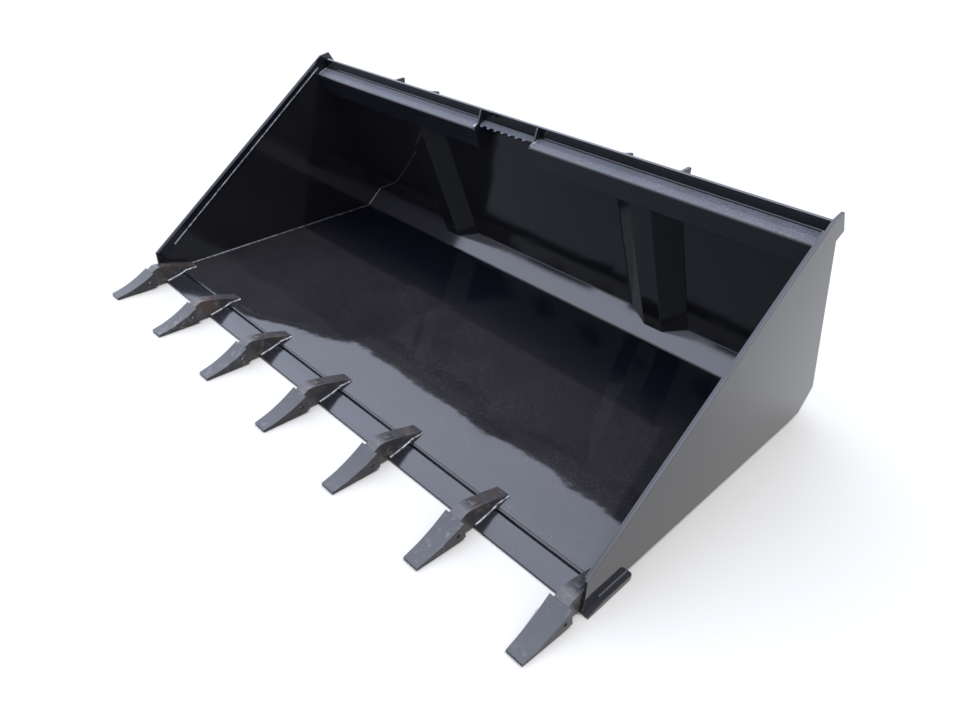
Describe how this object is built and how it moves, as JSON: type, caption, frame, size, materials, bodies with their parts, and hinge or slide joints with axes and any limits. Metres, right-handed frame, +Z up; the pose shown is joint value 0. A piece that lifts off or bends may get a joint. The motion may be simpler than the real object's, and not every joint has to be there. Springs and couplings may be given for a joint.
{
  "type": "skid steer bucket",
  "caption": "Wide black steel loader bucket with slanted side plates, a toothed cutting edge, a foot step in its top tube and a quick-attach frame on its back.",
  "frame": {"origin": "centre of the bounding box in X and Y, on the ground plane under the cutting edge and wear strips", "axes": "+X along the cutting edge, to the right seen from in front of the teeth; +Y backwards, towards the machine; +Z up with the bucket resting flat"},
  "size_m": [1.981, 1.1982, 0.6653],
  "materials": {
    "black_paint": "gloss black enamel with light dust and a few scuffs",
    "tooth_paint": "satin black paint over rough forged steel",
    "pin_steel": "oiled spring steel"
  },
  "bodies": {
    "root": {"cutting_edge": "black_paint", "floor_plate": "black_paint", "heel_plate": "black_paint", "back_plate": "black_paint", "side_plate_left": "black_paint", "side_plate_right": "black_paint", "side_edge_bar_left": "black_paint", "side_edge_bar_right": "black_paint", "lever_pocket_left": "black_paint", "lever_pocket_right": "black_paint", "top_rail_left": "black_paint", "top_rail_right": "black_paint", "step_end_cap_left": "black_paint", "step_end_cap_right": "black_paint", "step_tread": "black_paint", "attach_hook": "black_paint", "hook_rib_inner_left": "black_paint", "hook_rib_inner_right": "black_paint", "hook_rib_outer_left": "black_paint", "hook_rib_outer_right": "black_paint", "attach_ear_left": "black_paint", "attach_ear_right": "black_paint", "pin_ledge_left": "black_paint", "pin_ledge_right": "black_paint", "ledge_bracket_inner_left": "black_paint", "ledge_bracket_inner_right": "black_paint", "ledge_bracket_outer_left": "black_paint", "ledge_bracket_outer_right": "black_paint", "wear_strip_1": "black_paint", "wear_strip_2": "black_paint", "wear_strip_3": "black_paint", "wear_strip_4": "black_paint", "tooth_shank_1": "tooth_paint", "tooth_point_1": "tooth_paint", "tooth_pin_1": "pin_steel", "tooth_shank_2": "tooth_paint", "tooth_point_2": "tooth_paint", "tooth_pin_2": "pin_steel", "tooth_shank_3": "tooth_paint", "tooth_point_3": "tooth_paint", "tooth_pin_3": "pin_steel", "tooth_shank_4": "tooth_paint", "tooth_point_4": "tooth_paint", "tooth_pin_4": "pin_steel", "tooth_shank_5": "tooth_paint", "tooth_point_5": "tooth_paint", "tooth_pin_5": "pin_steel", "tooth_shank_6": "tooth_paint", "tooth_point_6": "tooth_paint", "tooth_pin_6": "pin_steel", "tooth_shank_7": "tooth_paint", "tooth_point_7": "tooth_paint", "tooth_pin_7": "pin_steel"}
  },
  "joints": []
}
